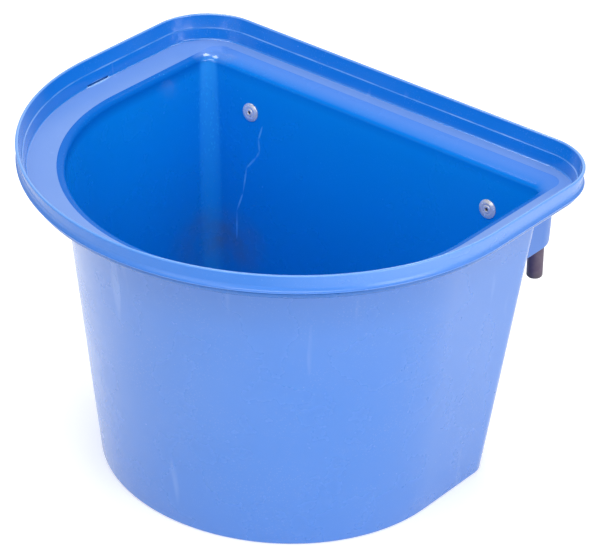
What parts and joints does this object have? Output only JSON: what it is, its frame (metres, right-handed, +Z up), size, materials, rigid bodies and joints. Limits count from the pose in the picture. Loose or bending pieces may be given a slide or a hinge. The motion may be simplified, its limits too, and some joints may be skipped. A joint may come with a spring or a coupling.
{
  "type": "hook-on feeder",
  "caption": "D-shaped moulded feed tub with a raised lip, hung on a rail by moulded hook brackets with steel pins riveted to its flat back.",
  "frame": {"origin": "centre of the bounding box at its base, under the middle of the tub and its hooks", "axes": "+Z up through the mouth, +Y out of the flat back towards the rail, -Y towards the round front, +X to the right seen from the front"},
  "size_m": [0.4, 0.3558, 0.266],
  "materials": {
    "tub_blue": "satin",
    "bracket_blue": "satin",
    "pin_steel": "zinc plated",
    "sleeve_rubber": "matt",
    "rivet_aluminium": "satin",
    "mandrel_steel": "broken stub",
    "washer_zinc": "zinc plated"
  },
  "bodies": {
    "root": {"tub": "tub_blue", "hook_bracket_left": "bracket_blue", "hook_bracket_right": "bracket_blue", "hook_pin_left": "pin_steel", "hook_pin_right": "pin_steel", "pin_sleeve_left": "sleeve_rubber", "pin_sleeve_right": "sleeve_rubber", "rivet_left": "rivet_aluminium", "rivet_right": "rivet_aluminium", "rivet_mandrel_left": "mandrel_steel", "rivet_mandrel_right": "mandrel_steel", "backing_washer_left": "washer_zinc", "backing_washer_right": "washer_zinc"}
  },
  "joints": []
}
